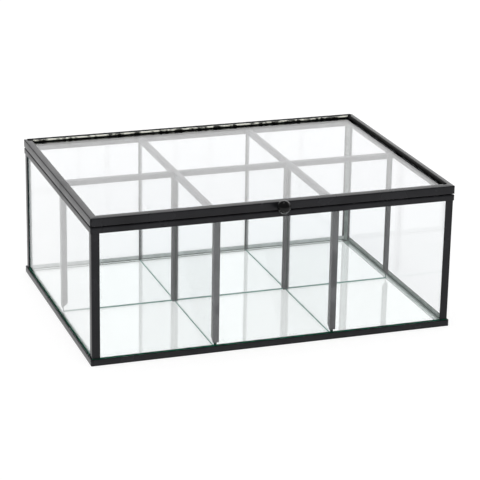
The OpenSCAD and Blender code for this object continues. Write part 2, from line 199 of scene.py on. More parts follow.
# %% Table
TABLE_WHITE = 0.8
SHADOW_TONE = 0.3
TABLE_LIFT = 0.83
material, tree, output = new_material("white table")
lit = add(tree, "ShaderNodeBsdfDiffuse", {"Color": (TABLE_WHITE,) * 3 + (1,)})
faint = add(tree, "ShaderNodeBsdfDiffuse", {"Color": (SHADOW_TONE,) * 3 + (1,)})
glow = add(tree, "ShaderNodeEmission", {"Color": (1, 1, 1, 1), "Strength": TABLE_LIFT})
both = add(tree, "ShaderNodeAddShader", {0: faint.outputs[0], 1: glow.outputs[0]})
shown = add(tree, "ShaderNodeMixShader", {0: seen_directly(tree), 1: lit.outputs[0],
                                          2: both.outputs[0]})
tree.links.new(shown.outputs[0], output.inputs["Surface"])
TABLE_HALF = 6
TABLE_TOP = -0.02 * MM
table_corners = [(x * TABLE_HALF, y * TABLE_HALF, TABLE_TOP)
                 for x, y in ((-1, -1), (1, -1), (1, 1), (-1, 1))]
table_mesh = bpy.data.meshes.new("table")
table_mesh.from_pydata(table_corners, [], [(0, 1, 2, 3)])
table_mesh.materials.append(material)
table = bpy.data.objects.new("table", table_mesh)
bpy.context.scene.collection.objects.link(table)
print("table:", 2 * TABLE_HALF, "m wide, white", TABLE_WHITE)


# %% Lamps
def soft_panel(name, place, target, width, height, radiance):
    """A rectangular lamp whose face is as bright as radiance times white."""
    data = bpy.data.lights.new(name, "AREA")
    data.shape = "RECTANGLE"
    data.size, data.size_y = width, height
    data.energy = radiance * math.pi * width * height
    lamp = bpy.data.objects.new(name, data)
    place, target = Vector(place), Vector(target)
    lamp.matrix_world = (Matrix.Translation(place)
                         @ (target - place).to_track_quat("-Z", "Y").to_matrix().to_4x4())
    lamp.visible_camera = False
    bpy.context.scene.collection.objects.link(lamp)
    print(f"{name}: {data.energy:.1f} W")
    return lamp


soft_panel("panel_behind", (0.55, 1.7, 0.66), (0, 0, 0.09), 2.6, 1.2, 0.5)
soft_panel("panel_overhead", (-0.1, 0.05, 1.6), (0, 0, 0), 0.35, 0.35, 7)

# %% [markdown]
# ## Black paint
# The frame is thin steel sheet, soldered at the corners and painted satin black. Paint like this
# is never one flat colour: it pools a little thicker in places, its gloss changes over a few
# centimetres, and a fine orange-peel texture breaks up reflections. Three noise textures of
# different size give colour, roughness and bump. They read Object coordinates, so they stay on
# the piece when the lid turns. The frame is satin and the knob glossy. A dull black that mirrors
# almost nothing is painted shade: it goes where the lid's bars show dark. The channels inside are
# black too, and their grey is painted light: a painted reflection of the white room in the panes
# in front of them.


# %% Paint
def paint(name, colour, roughness, spread, peel, specular=0.5):
    """Black paint: spread is the change in roughness, peel the depth of the orange peel."""
    material, tree, output = new_material(name)
    place = add(tree, "ShaderNodeTexCoord").outputs["Object"]
    cloud = add(tree, "ShaderNodeTexNoise", {"Vector": place, "Scale": 55, "Detail": 3})
    grain = add(tree, "ShaderNodeTexNoise", {"Vector": place, "Scale": 900, "Detail": 2})
    tone = add(tree, "ShaderNodeValToRGB", {"Fac": cloud.outputs["Fac"]})
    tone.color_ramp.elements[0].position = 0.3
    tone.color_ramp.elements[1].position = 0.7
    tone.color_ramp.elements[0].color = tuple(c * 0.75 for c in colour) + (1,)
    tone.color_ramp.elements[1].color = tuple(c * 1.3 for c in colour) + (1,)
    rough = add(tree, "ShaderNodeMapRange", {"Value": cloud.outputs["Fac"], "From Min": 0.3,
                                             "From Max": 0.7, "To Min": roughness - spread,
                                             "To Max": roughness + spread})
    bump = add(tree, "ShaderNodeBump", {"Height": grain.outputs["Fac"], "Strength": 0.5,
                                        "Distance": peel})
    shader = add(tree, "ShaderNodeBsdfPrincipled", {
        "Base Color": tone.outputs["Color"], "Roughness": rough.outputs["Result"],
        "Specular IOR Level": specular, "Normal": bump.outputs["Normal"]})
    tree.links.new(shader.outputs[0], output.inputs["Surface"])
    return material


frame_paint = paint("satin black paint", (0.022, 0.022, 0.025), 0.25, 0.06, 0.012 * MM, 0.19)
# Painted shade: a black that mirrors almost nothing, for the beads and the ridge where the lid's
# bars show dark.
shade_black_paint = paint("painted shade, dull black", (0.006, 0.006, 0.006), 0.6, 0.05, 0.012 * MM, 0.05)
# Painted light: the channels are black, and this grey stands in for the white room mirrored in
# the panes in front of them.
veiled_channel_paint = paint("channel black under painted veil", (0.175, 0.179, 0.187), 0.38, 0.07, 0.012 * MM, 0.4)
knob_paint = paint("glossy black paint", (0.008, 0.008, 0.0085), 0.16, 0.04, 0.006 * MM, 0.2)
print("paints:", frame_paint.name, shade_black_paint.name, veiled_channel_paint.name, knob_paint.name)

# %% [markdown]
# ## Glass
# Clear float glass has two looks. Its polished faces mirror and let light through. Its cut edges
# are ground matt and show the green of the iron in the glass, because light reaches them along
# the pane. One recipe serves all faces. The lid has a grey tint and the left wall a faint one,
# and the right wall mirrors less than real glass, because the photograph shows them so. The grey
# of the lid and of the left wall is painted shade: it dims what is seen through these two panes,
# which the eye meets at a low angle. The tones of the edges are painted light and shade: they
# come light where the pane stands on glass, dark where it stands on black metal, and pale where
# sealant lies against them.
# A real pane also lets lamp light straight through to what is behind it. Tracing that
# through solid glass is slow and speckled, so for shadow rays alone the faces are open.


# %% Glass materials
def clear_glass(name, tint, index=1.5):
    """Polished faces. index says how strongly they mirror, and float glass has 1.5."""
    material, tree, output = new_material(name)
    place = add(tree, "ShaderNodeTexCoord").outputs["Object"]
    wave = add(tree, "ShaderNodeTexNoise", {"Vector": place, "Scale": 9, "Detail": 1})
    bump = add(tree, "ShaderNodeBump", {"Height": wave.outputs["Fac"], "Strength": 0.05,
                                        "Distance": 0.4 * MM})
    glass = add(tree, "ShaderNodeBsdfPrincipled", {
        "Base Color": tint + (1,), "Roughness": 0, "IOR": index, "Transmission Weight": 1,
        "Normal": bump.outputs["Normal"]})
    through = add(tree, "ShaderNodeBsdfTransparent", {"Color": tint + (1,)})
    path = add(tree, "ShaderNodeLightPath")
    mix = add(tree, "ShaderNodeMixShader", {0: path.outputs["Is Shadow Ray"], 1: glass.outputs[0],
                                            2: through.outputs[0]})
    tree.links.new(mix.outputs[0], output.inputs["Surface"])
    return material


def ground_edge(name, dark, light):
    """A matt green edge, between two tones, with tiny chips from the grinding."""
    material, tree, output = new_material(name)
    place = add(tree, "ShaderNodeTexCoord").outputs["Object"]
    chips = add(tree, "ShaderNodeTexNoise", {"Vector": place, "Scale": 700, "Detail": 4})
    tone = add(tree, "ShaderNodeValToRGB", {"Fac": chips.outputs["Fac"]})
    tone.color_ramp.elements[0].position = 0.35
    tone.color_ramp.elements[1].position = 0.65
    tone.color_ramp.elements[0].color = dark + (1,)
    tone.color_ramp.elements[1].color = light + (1,)
    bump = add(tree, "ShaderNodeBump", {"Height": chips.outputs["Fac"], "Strength": 0.4,
                                        "Distance": 0.02 * MM})
    shader = add(tree, "ShaderNodeBsdfPrincipled", {
        "Base Color": tone.outputs["Color"], "Roughness": 0.45, "Normal": bump.outputs["Normal"]})
    tree.links.new(shader.outputs[0], output.inputs["Surface"])
    return material


glass_faces = clear_glass("float glass", (0.968, 0.978, 0.982))
# Painted shade: the grey of the lid and of the left wall dims what is seen through them.
lid_faces = clear_glass("lid glass", (0.755, 0.76, 0.77))
left_faces = clear_glass("left wall glass", (0.905, 0.915, 0.92))
floor_faces = clear_glass("floor glass", (0.955, 0.978, 0.968))
quiet_faces = clear_glass("right wall glass", (0.950, 0.955, 0.962), 1.22)
# Painted light and shade: lit and shaded copies of one edge, light on glass, dark on black metal,
# pale against sealant.
light_edge = ground_edge("ground edge on glass", (0.12, 0.29, 0.22), (0.20, 0.41, 0.33))
dark_edge = ground_edge("ground edge on metal", (0.0, 0.05, 0.025), (0.005, 0.085, 0.045))
pale_edge = ground_edge("ground edge in sealant", (0.55, 0.64, 0.60), (0.68, 0.76, 0.72))
print("glass:", glass_faces.name, lid_faces.name, left_faces.name, floor_faces.name,
      quiet_faces.name)
print("edges:", light_edge.name, dark_edge.name, pale_edge.name)


# %% Sealant, bare solder and steel
def sealant_material(name, dark, light, patch, roughness, specular, glow=0.0):
    """Sealant between two tones in patches. glow is painted light: it makes the sealant shine in
    its own tones, though it is no lamp.
    """
    material, tree, output = new_material(name)
    place = add(tree, "ShaderNodeTexCoord").outputs["Object"]
    lumps = add(tree, "ShaderNodeTexNoise", {"Vector": place, "Scale": 1 / patch, "Detail": 3})
    tone = add(tree, "ShaderNodeValToRGB", {"Fac": lumps.outputs["Fac"]})
    tone.color_ramp.elements[0].position = 0.42
    tone.color_ramp.elements[1].position = 0.56
    tone.color_ramp.elements[0].color = dark + (1,)
    tone.color_ramp.elements[1].color = light + (1,)
    bump = add(tree, "ShaderNodeBump", {"Height": lumps.outputs["Fac"], "Strength": 0.7,
                                        "Distance": 0.15 * MM})
    shader = add(tree, "ShaderNodeBsdfPrincipled", {
        "Base Color": tone.outputs["Color"], "Roughness": roughness,
        "Specular IOR Level": specular, "Emission Color": tone.outputs["Color"],
        "Emission Strength": glow, "Normal": bump.outputs["Normal"]})
    tree.links.new(shader.outputs[0], output.inputs["Surface"])
    return material


def steel_material():
    """Drawn wire: fine lines along X change the roughness."""
    material, tree, output = new_material("bare steel wire")
    place = add(tree, "ShaderNodeTexCoord").outputs["Object"]
    drawn = add(tree, "ShaderNodeMapping", {"Vector": place, "Scale": (60, 2500, 2500)})
    lines = add(tree, "ShaderNodeTexNoise", {"Vector": drawn.outputs[0], "Scale": 1, "Detail": 3})
    rough = add(tree, "ShaderNodeMapRange", {"Value": lines.outputs["Fac"], "To Min": 0.25,
                                             "To Max": 0.5})
    shader = add(tree, "ShaderNodeBsdfPrincipled", {
        "Base Color": (0.45, 0.45, 0.46, 1), "Metallic": 1, "Roughness": rough.outputs["Result"]})
    tree.links.new(shader.outputs[0], output.inputs["Surface"])
    return material


# Painted highlight: bright patches on near black, with a faint glow, for the speckled glints
# along the rear bar.
sealant = sealant_material("sealant with painted glints", (0.02, 0.022, 0.015), (0.88, 0.89, 0.78), 4 * MM,
                           0.25, 0.5, 0.1)
# Painted shade: a dark green for the foot of the front and left walls.
shaded_green_seal = sealant_material("green sealant as painted shade", (0.004, 0.055, 0.03), (0.012, 0.12, 0.068),
                              3 * MM, 0.5, 0.1)
# Painted shade with a faint painted glow, for the left rear corner.
shaded_teal_seal = sealant_material("teal sealant as painted shade", (0.012, 0.10, 0.092), (0.03, 0.15, 0.14),
                             4 * MM, 0.4, 0.2, 0.12)
# Painted light: a pale green that glows along the feet of the dividers.
glowing_foot_seal = sealant_material("foot sealant", (0.08, 0.27, 0.22), (0.18, 0.40, 0.34), 6 * MM,
                             0.4, 0.3, 0.2)
# Painted light: a grey that glows, for the right seam and the right rear corner.
glowing_grey_seal = sealant_material("grey sealant with painted glow", (0.20, 0.26, 0.235), (0.32, 0.38, 0.35), 4 * MM,
                             0.5, 0.2, 0.25)
# Painted shadow with a faint glow, for the bed under the right bar.
shadowed_bed_seal = sealant_material("bed sealant", (0.30, 0.37, 0.34), (0.42, 0.48, 0.455), 4 * MM,
                            0.5, 0.2, 0.3)
# Painted light: a white that glows, for the bed under the rear bar.
glowing_white_bed_seal = sealant_material("white bed sealant", (0.86, 0.89, 0.88), (0.94, 0.96, 0.95), 4 * MM,
                              0.5, 0.2, 0.7)
# Painted light: a pale tone that glows, for the rear seam and the left bed.
glowing_pale_seal = sealant_material("pale sealant with painted glow", (0.55, 0.60, 0.58), (0.70, 0.75, 0.73), 4 * MM,
                             0.5, 0.2, 0.4)
steel = steel_material()
print("sealants:", sealant.name, shaded_green_seal.name, shaded_teal_seal.name, glowing_foot_seal.name,
      glowing_grey_seal.name, shadowed_bed_seal.name, glowing_white_bed_seal.name, glowing_pale_seal.name)

# %% [markdown]
# ## Panes
# Every pane is a cut rectangle whose edges were rubbed down with a stone, so that they don't
# cut the hand. The narrow slanted line that this leaves is called an arris. A box whose twelve
# edges are bevelled gives it. Faces that look along the thin direction get the clear
# material, level ones the edge named for the pane, and upright ends their own.

# %% Cut the panes
ARRIS = 0.18 * MM


def as_piece(name, mesh, body, slot, *nodes):
    """Make a finished mesh a piece that rides on a body and stands for nodes of the solids."""
    piece = bpy.data.objects.new(name, mesh)
    bpy.context.scene.collection.objects.link(piece)
    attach(piece, body)
    if nodes:
        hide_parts(*nodes)
    return piece


def cut_pane(node, body, slot, edge, faces=glass_faces, ends=dark_edge):
    """A pane in its node's box: clear faces, level edges and upright ends."""
    low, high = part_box(node)
    size = high - low
    thin_axis = min(range(3), key=lambda i: size[i])
    shape = bmesh.new()
    bmesh.ops.create_cube(shape, size=1)
    for vert in shape.verts:
        vert.co = Vector((low[i] + (vert.co[i] + 0.5) * size[i] for i in range(3)))
    bmesh.ops.bevel(shape, geom=shape.edges[:], offset=ARRIS, segments=1, affect="EDGES")
    for face in shape.faces:
        thin, level = abs(face.normal[thin_axis]) > 0.9, abs(face.normal.z) > 0.5
        face.material_index = 0 if thin else 1 if level else 2
    mesh = bpy.data.meshes.new("cut_" + node)
    shape.to_mesh(mesh)
    shape.free()
    for material in (faces, edge, ends):
        mesh.materials.append(material)
    return as_piece("cut_" + node, mesh, body, slot, node)


for side, faces in (("front", glass_faces), ("rear", glass_faces), ("left", left_faces),
                    ("right", quiet_faces)):
    cut_pane(f"wall_glass_{side}", "box", "wall_glass", dark_edge, faces)
for part in ("left", "middle", "right"):
    cut_pane(f"long_divider_{part}", "box", "divider_glass", light_edge)
for row in ("front", "rear"):
    for side in ("left", "right"):
        cut_pane(f"short_divider_{row}_{side}", "box", "divider_glass", light_edge)
cut_pane("base_glass", "box", "floor_glass", dark_edge, floor_faces, pale_edge)
cut_pane("lid_glass", "lid", "lid_glass", dark_edge, lid_faces)

# %% [markdown]
# ## Sections of the folded sheet
# Each bar of the frame is one section pulled along a straight line: a C that grips a pane
# lying flat, an upside-down U that caps a pane standing up, an angle around a corner. A
# section is a list of corners with a small radius at each, because sheet metal never folds
# to a sharp edge, and paint rounds it further. That radius is what catches the light.


# %% Rounded sections
def rounded(corners, steps=4):
    """Corners are (x, y, radius). Each is replaced by an arc, or kept where its radius is 0."""
    points = []
    for i, (x, y, radius) in enumerate(corners):
        here = Vector((x, y))
        before = (Vector(corners[i - 1][:2]) - here).normalized()
        after = (Vector(corners[(i + 1) % len(corners)][:2]) - here).normalized()
        if radius == 0:
            points.append(here)
            continue
        half_angle = before.angle(after) / 2
        centre = here + (before + after).normalized() * radius / math.sin(half_angle)
        start = here + before * radius / math.tan(half_angle) - centre
        end = here + after * radius / math.tan(half_angle) - centre
        turn = start.angle_signed(end)
        for step in range(steps + 1):
            angle = -turn * step / steps
            points.append(centre + Matrix.Rotation(angle, 2) @ start)
    return points


def section_mesh(points):
    """A closed loop of edges in the XY plane, which the tree below reads as a curve."""
    mesh = bpy.data.meshes.new("section")
    count = len(points)
    mesh.from_pydata([(p.x, p.y, 0) for p in points],
                     [(i, (i + 1) % count) for i in range(count)], [])
    return mesh


def split_at(points, x):
    """Add a point wherever the loop crosses this x, so that the cut of a mitre can bend there."""
    loop = []
    for here, there in zip(points, points[1:] + points[:1]):
        loop.append(here)
        if (here.x - x) * (there.x - x) < 0:
            loop.append(here.lerp(there, (x - here.x) / (there.x - here.x)))
    return loop


def footed(width, height, leg, foot, edge):
    """An angle whose leg stands at x = 0 and whose foot runs in under a lying pane."""
    fold = foot * 0.45
    return rounded([(0, 0, edge), (width, 0, fold), (width, foot, fold), (leg, foot, fold),
                    (leg, height, fold), (0, height, edge)])


def gripping(width, height, lip, web, high, low, tip):
    """A C that lies on its side: x runs in from the outer face, y runs up."""
    fold, inner = 0.12 * MM, 0.2 * MM
    return rounded([(0, 0, low), (width, 0, inner), (width, lip, fold), (web, lip, inner),
                    (web, height - lip, inner), (width, height - lip, fold),
                    (width, height, tip), (0, height, high)])


def capping(width, height, sheet, middle=0.0):
    """An upside-down U over a standing pane; x runs from its outer face, or from its middle."""
    fold = 0.28 * MM
    a, b = -middle, width - middle
    return rounded([(a, 0, fold), (a + sheet, 0, fold), (a + sheet, height - sheet, fold),
                    (b - sheet, height - sheet, fold), (b - sheet, 0, fold), (b, 0, fold),
                    (b, height, fold * 1.6), (a, height, fold * 2.6)])


def angle_iron(leg, sheet):
    """An angle around a corner at the origin."""
    fold = 0.2 * MM
    return rounded([(0, 0, 0.5 * MM), (leg, 0, fold), (leg, sheet, fold), (sheet, sheet, 0),
                    (sheet, leg, fold), (0, leg, fold)])


def slotted(half_x, half_y, slot, depth):
    """A square bar with a slot in each of its four sides."""
    fold = 0.15 * MM
    quarter = [(half_x, -slot, fold), (half_x - depth, -slot, 0), (half_x - depth, slot, 0),
               (half_x, slot, fold), (half_x, half_y, fold * 2)]
    top = [(slot, half_y, fold), (slot, half_y - depth, 0), (-slot, half_y - depth, 0),
           (-slot, half_y, fold), (-half_x, half_y, fold * 2)]
    corners = quarter + top
    return rounded(corners + [(-x, -y, r) for x, y, r in corners])


# %% [markdown]
# ## A tree that makes a bar
# All thirty-odd bars follow one rule, so one Geometry Nodes tree makes them. It pulls the
# section along a line of the bar's length, then slides the end points back by their own
# depth times a slope: a slope of one cuts a 45 degree mitre. Next it puts the bar in its
# place, and last it moves every point by a few hundredths of a millimetre along a smooth
# noise. The noise depends on the place alone, so two bars still meet at their mitre. This
# faint unevenness is what tells hand-folded sheet from a machined rod.


# %% The bar tree
def new_tree(title, sockets):
    """An empty geometry tree with a geometry in and out, and the named inputs."""
    tree = bpy.data.node_groups.new(title, "GeometryNodeTree")
    tree.interface.new_socket("Geometry", in_out="INPUT", socket_type="NodeSocketGeometry")
    for name, kind in sockets:
        tree.interface.new_socket(name, in_out="INPUT", socket_type="NodeSocket" + kind)
    tree.interface.new_socket("Geometry", in_out="OUTPUT", socket_type="NodeSocketGeometry")
    return tree, tree.nodes.new("NodeGroupInput").outputs


def uneven(tree, geometry, amount, lump, seed):
    """Move each point along a smooth noise of its place."""
    place = add(tree, "GeometryNodeInputPosition").outputs[0]
    per_metre = add(tree, "ShaderNodeMath", {0: 1.0, 1: lump}, operation="DIVIDE").outputs[0]
    noise = add(tree, "ShaderNodeTexNoise", {"Vector": place, "W": seed, "Scale": per_metre,
                                             "Detail": 1.0}, noise_dimensions="4D")
    centred = add(tree, "ShaderNodeVectorMath", {0: noise.outputs["Color"], 1: (0.5, 0.5, 0.5)},
                  operation="SUBTRACT").outputs[0]
    scaled = add(tree, "ShaderNodeVectorMath", {0: centred, "Scale": amount}, operation="SCALE")
    return add(tree, "GeometryNodeSetPosition", {"Geometry": geometry,
                                                 "Offset": scaled.outputs[0]}).outputs[0]


def finish_tree(tree, geometry, material):
    """Every tree ends with real geometry and a material."""
    real = add(tree, "GeometryNodeRealizeInstances", {"Geometry": geometry}).outputs[0]
    done = add(tree, "GeometryNodeSetMaterial", {"Geometry": real, "Material": material})
    add(tree, "NodeGroupOutput", {"Geometry": done.outputs[0]})


def math_node(tree, operation, a, b=0.0):
    return add(tree, "ShaderNodeMath", {0: a, 1: b}, operation=operation).outputs[0]


bar_tree, given = new_tree("folded bar", [
    ("Length", "Float"), ("Step", "Float"), ("Mitre at start", "Float"),
    ("Mitre at end", "Float"), ("Mitre from", "Float"), ("Mitre depth", "Float"),
    ("Corner radius", "Float"), ("Turn", "Vector"),
    ("Place", "Vector"), ("Unevenness", "Float"), ("Lump size", "Float"), ("Seed", "Float"),
    ("Material", "Material")])
half = math_node(bar_tree, "MULTIPLY", given["Length"], 0.5)
minus_half = math_node(bar_tree, "MULTIPLY", given["Length"], -0.5)
start = add(bar_tree, "ShaderNodeCombineXYZ", {"Z": minus_half}).outputs[0]
end = add(bar_tree, "ShaderNodeCombineXYZ", {"Z": half}).outputs[0]
line = add(bar_tree, "GeometryNodeCurvePrimitiveLine", {"Start": start, "End": end})
line = add(bar_tree, "GeometryNodeResampleCurve", {"Curve": line.outputs[0],
                                                   "Length": given["Step"]}, mode="LENGTH")
profile = add(bar_tree, "GeometryNodeMeshToCurve", {0: given["Geometry"]})
bar = add(bar_tree, "GeometryNodeCurveToMesh", {"Curve": line.outputs[0],
                                                "Profile Curve": profile.outputs[0],
                                                "Fill Caps": True}).outputs[0]
place = add(bar_tree, "ShaderNodeSeparateXYZ",
            {0: add(bar_tree, "GeometryNodeInputPosition").outputs[0]}).outputs
depth = math_node(bar_tree, "MAXIMUM",
                  math_node(bar_tree, "SUBTRACT", place["X"], given["Mitre from"]), 0.0)
depth = math_node(bar_tree, "MINIMUM", depth, given["Mitre depth"])
along = math_node(bar_tree, "DIVIDE", place["Z"], half)
at_end = math_node(bar_tree, "MAXIMUM", along, 0.0)
at_start = math_node(bar_tree, "MINIMUM", along, 0.0)
radius = given["Corner radius"]
short = math_node(bar_tree, "MAXIMUM", math_node(bar_tree, "SUBTRACT", radius, place["X"]), 0.0)
square = math_node(bar_tree, "SUBTRACT", math_node(bar_tree, "MULTIPLY", radius, radius),
                   math_node(bar_tree, "MULTIPLY", short, short))
arc = math_node(bar_tree, "SUBTRACT", radius, math_node(
    bar_tree, "SQRT", math_node(bar_tree, "MAXIMUM", square, 0.0)))


def drawn_back(at, mitre):
    """How far an end point goes back: by the mitre, or by the round of the corner."""
    cut = math_node(bar_tree, "MAXIMUM", math_node(bar_tree, "MULTIPLY", depth, mitre), arc)
    return math_node(bar_tree, "MULTIPLY", at, cut)


slide = math_node(bar_tree, "ADD", drawn_back(at_end, given["Mitre at end"]),
                  drawn_back(at_start, given["Mitre at start"]))
offset = add(bar_tree, "ShaderNodeCombineXYZ",
             {"Z": math_node(bar_tree, "MULTIPLY", slide, -1.0)}).outputs[0]
bar = add(bar_tree, "GeometryNodeSetPosition", {"Geometry": bar, "Offset": offset}).outputs[0]
bar = add(bar_tree, "GeometryNodeTransform", {"Geometry": bar, "Translation": given["Place"],
                                              "Rotation": given["Turn"]}).outputs[0]
bar = uneven(bar_tree, bar, given["Unevenness"], given["Lump size"], given["Seed"])
finish_tree(bar_tree, bar, given["Material"])
print("bar tree:", len(bar_tree.nodes), "nodes")


# %% Run a tree and keep its mesh
SHARP = math.radians(40)


def grow(name, mesh, tree, values, smooth_all=False):
    """The plain mesh that a tree makes of a start mesh. The values go in by identifier."""
    source = bpy.data.objects.new(name + "_start", mesh)
    bpy.context.scene.collection.objects.link(source)
    modifier = source.modifiers.new("tree", "NODES")
    modifier.node_group = tree
    for socket in tree.interface.items_tree:
        if socket.in_out == "INPUT" and socket.name in values:
            modifier[socket.identifier] = values[socket.name]
    graph = bpy.context.evaluated_depsgraph_get()
    grown = bpy.data.meshes.new_from_object(source.evaluated_get(graph))
    source.modifiers.remove(modifier)
    bpy.data.objects.remove(source)
    grown.name = name
    grown.shade_smooth()
    if not smooth_all:
        grown.set_sharp_from_angle(angle=SHARP)
    return grown


UNEVENNESS = 0.04 * MM
LUMP_SIZE = 30 * MM


def bar(name, points, length, x_way, y_way, place, body, slot, mitres=(0, 0), mitre_from=0.0,
        mitre_depth=1.0, corner=0.0, step=5 * MM, material=None, uneven_by=None, nodes=None):
    """A bar whose section's x and y point along x_way and y_way. It replaces its node."""
    x_way, y_way = Vector(x_way), Vector(y_way)
    turn = Matrix((x_way, y_way, x_way.cross(y_way))).transposed().to_euler()
    mesh = grow("folded_" + name, section_mesh(points), bar_tree, {
        "Length": length, "Step": step, "Mitre at start": float(mitres[0]),
        "Mitre at end": float(mitres[1]), "Mitre from": mitre_from,
        "Mitre depth": mitre_depth, "Corner radius": corner, "Turn": tuple(turn),
        "Place": tuple(place), "Unevenness": uneven_by or UNEVENNESS, "Seed": 3.0,
        "Lump size": LUMP_SIZE if uneven_by is None else 5 * MM,
        "Material": material or frame_paint})
    return as_piece("folded_" + name, mesh, body, slot, *([name] if nodes is None else nodes))


# %% [markdown]
# ## Base, rim and lid frames
# The three frames are mitred rectangles. The base is an angle that the floor pane lies in,
# the rim a U that caps the walls, and the lid a C that grips its pane. Each reads its outline
# from the solid model, so that bar and solid stay in step. Where two bars of unequal width
# meet, the mitre runs at 45 degrees as deep as the narrower one, and is cut square from there.

# %% Frames
UP = (0, 0, 1)


def frame_of_bars(prefix, points_of, body, corner):
    """Four mitred bars around the outline of the four nodes called prefix_front and so on."""
    x0, x1 = span(prefix + "_left", 0)[0], span(prefix + "_right", 0)[1]
    y0, y1 = span(prefix + "_front", 1)[0], span(prefix + "_rear", 1)[1]
    z0, z1 = span(prefix + "_front", 2)
    width = {"front": span(prefix + "_front", 1), "rear": span(prefix + "_rear", 1),
             "left": span(prefix + "_left", 0), "right": span(prefix + "_right", 0)}
    width = {side: high - low for side, (low, high) in width.items()}
    mid = Vector(((x0 + x1) / 2, (y0 + y1) / 2, z0))
    sides = [("front", (0, 1, 0), (mid.x, y0, z0), x1 - x0, ("left", "right")),
             ("right", (-1, 0, 0), (x1, mid.y, z0), y1 - y0, ("front", "rear")),
             ("rear", (0, -1, 0), (mid.x, y1, z0), x1 - x0, ("right", "left")),
             ("left", (1, 0, 0), (x0, mid.y, z0), y1 - y0, ("rear", "front"))]
    for side, inward, place, length, ends in sides:
        mitre_depth = min(width[side], *(width[end] for end in ends))
        points = split_at(points_of(width[side], z1 - z0), mitre_depth)
        points = split_at(points, 0.2929 * corner)
        bar(f"{prefix}_{side}", points, length, inward, UP, place, body, "frame", (1, 1), 0.0,
            mitre_depth, corner)
    print(f"{prefix}: {(x1 - x0) / MM:.1f} x {(y1 - y0) / MM:.1f} mm")
    return x0, x1, y0, y1, z0, z1


BASE_FOOT = span("base_glass", 2)[0] - 0.1 * MM
BASE_LEG = 0.9 * MM
BASE_ARRIS = 0.4 * MM
BASE_CORNER = 1.5 * MM
base = frame_of_bars("base_bar", lambda w, h: footed(w, h, BASE_LEG, BASE_FOOT, BASE_ARRIS),
                     "box", BASE_CORNER)
RIM_SHEET = 0.8 * MM
RIM_CORNER = 0.6 * MM
rim = frame_of_bars("rim_bar", lambda w, h: capping(w, h, RIM_SHEET), "box", RIM_CORNER)
LID_LIP = span("lid_glass", 2)[0] - span("lid_bar_front", 2)[0] - 0.1 * MM
LID_WEB = 1.3 * MM
LID_ARRIS_TOP, LID_ARRIS_UNDER, LID_ARRIS_INNER = 0.65 * MM, 0.7 * MM, 0.35 * MM
LID_CORNER = 0.8 * MM
lid = frame_of_bars("lid_bar", lambda w, h: gripping(w, h, LID_LIP, LID_WEB, LID_ARRIS_TOP,
                                                     LID_ARRIS_UNDER, LID_ARRIS_INNER),
                    "lid", LID_CORNER)

# %% [markdown]
# ## Posts, channels and caps
# The corner posts are angles outside the panes. Inside, four upright channels hold the ends
# of the dividers, with their feet snipped off slantwise, and slotted bars stand where the
# dividers cross. Caps run over the top edges of the dividers, one long and four short.

# %% Posts
post_low, post_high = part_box("corner_post_front_left")
POST_LEG = post_high.x - post_low.x
POST_SHEET = 0.6 * MM
for node, x_way, y_way, x_end, y_end in (
        ("corner_post_front_left", (1, 0, 0), (0, 1, 0), 0, 0),
        ("corner_post_front_right", (0, 1, 0), (-1, 0, 0), 1, 0),
        ("corner_post_rear_right", (-1, 0, 0), (0, -1, 0), 1, 1),
        ("corner_post_rear_left", (0, -1, 0), (1, 0, 0), 0, 1)):
    z0, z1 = span(node, 2)
    bar(node, angle_iron(POST_LEG, POST_SHEET), z1 - z0, x_way, y_way,
        (span(node, 0)[x_end], span(node, 1)[y_end], (z0 + z1) / 2), "box", "frame")
print(f"posts: legs of {POST_LEG / MM:.1f} mm")

# %% Wall channels and rear strips
CHANNEL_SHEET = 0.8 * MM
SNIP = 3 * MM


def upright_channel(width, depth, sheet):
    """A U open along +x, for a pane that ends at a wall."""
    fold, half = 0.25 * MM, width / 2
    return rounded([(0, -half, 0), (depth, -half, fold), (depth, sheet - half, fold),
                    (sheet, sheet - half, 0), (sheet, half - sheet, 0),
                    (depth, half - sheet, fold), (depth, half, fold), (0, half, 0)])


for node, inward, across, wall in (
        ("wall_channel_front_left", (0, 1, 0), (-1, 0, 0), 0),
        ("wall_channel_front_right", (0, 1, 0), (-1, 0, 0), 0),
        ("wall_channel_left", (1, 0, 0), (0, 1, 0), 0),
        ("wall_channel_right", (-1, 0, 0), (0, -1, 0), 1)):
    low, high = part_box(node)
    thin = 0 if abs(inward[0]) else 1
    place = (low + high) / 2
    place[thin] = (low, high)[wall][thin]
    width, depth = (high - low)[1 - thin], (high - low)[thin]
    bar(node, upright_channel(width, depth, CHANNEL_SHEET), high.z - low.z, inward, across,
        place, "box", "channels", (SNIP / (depth - CHANNEL_SHEET), 0), CHANNEL_SHEET,
        material=veiled_channel_paint)
    print(f"{node}: {width / MM:.1f} mm wide, {depth / MM:.1f} mm deep")

STRIP_ARRIS = 0.2 * MM
for node in ("rear_strip_left", "rear_strip_right"):
    low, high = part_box(node)
    half, thick = (high.x - low.x) / 2, high.y - low.y
    points = rounded([(0, -half, 0), (thick, -half, STRIP_ARRIS), (thick, half, STRIP_ARRIS),
                      (0, half, 0)])
    bar(node, points, high.z - low.z, (0, -1, 0), (1, 0, 0),
        ((low.x + high.x) / 2, high.y, (low.z + high.z) / 2), "box", "channels",
        material=veiled_channel_paint)

# %% Crossing posts and caps
SLOT_HALF = 1.1 * MM
SLOT_DEPTH = 0.7 * MM
for node in ("crossing_post_left", "crossing_post_right"):
    low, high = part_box(node)
    bar(node, slotted((high.x - low.x) / 2, (high.y - low.y) / 2, SLOT_HALF, SLOT_DEPTH),
        high.z - low.z, (1, 0, 0), (0, 1, 0), (low + high) / 2, "box", "channels",
        material=veiled_channel_paint)

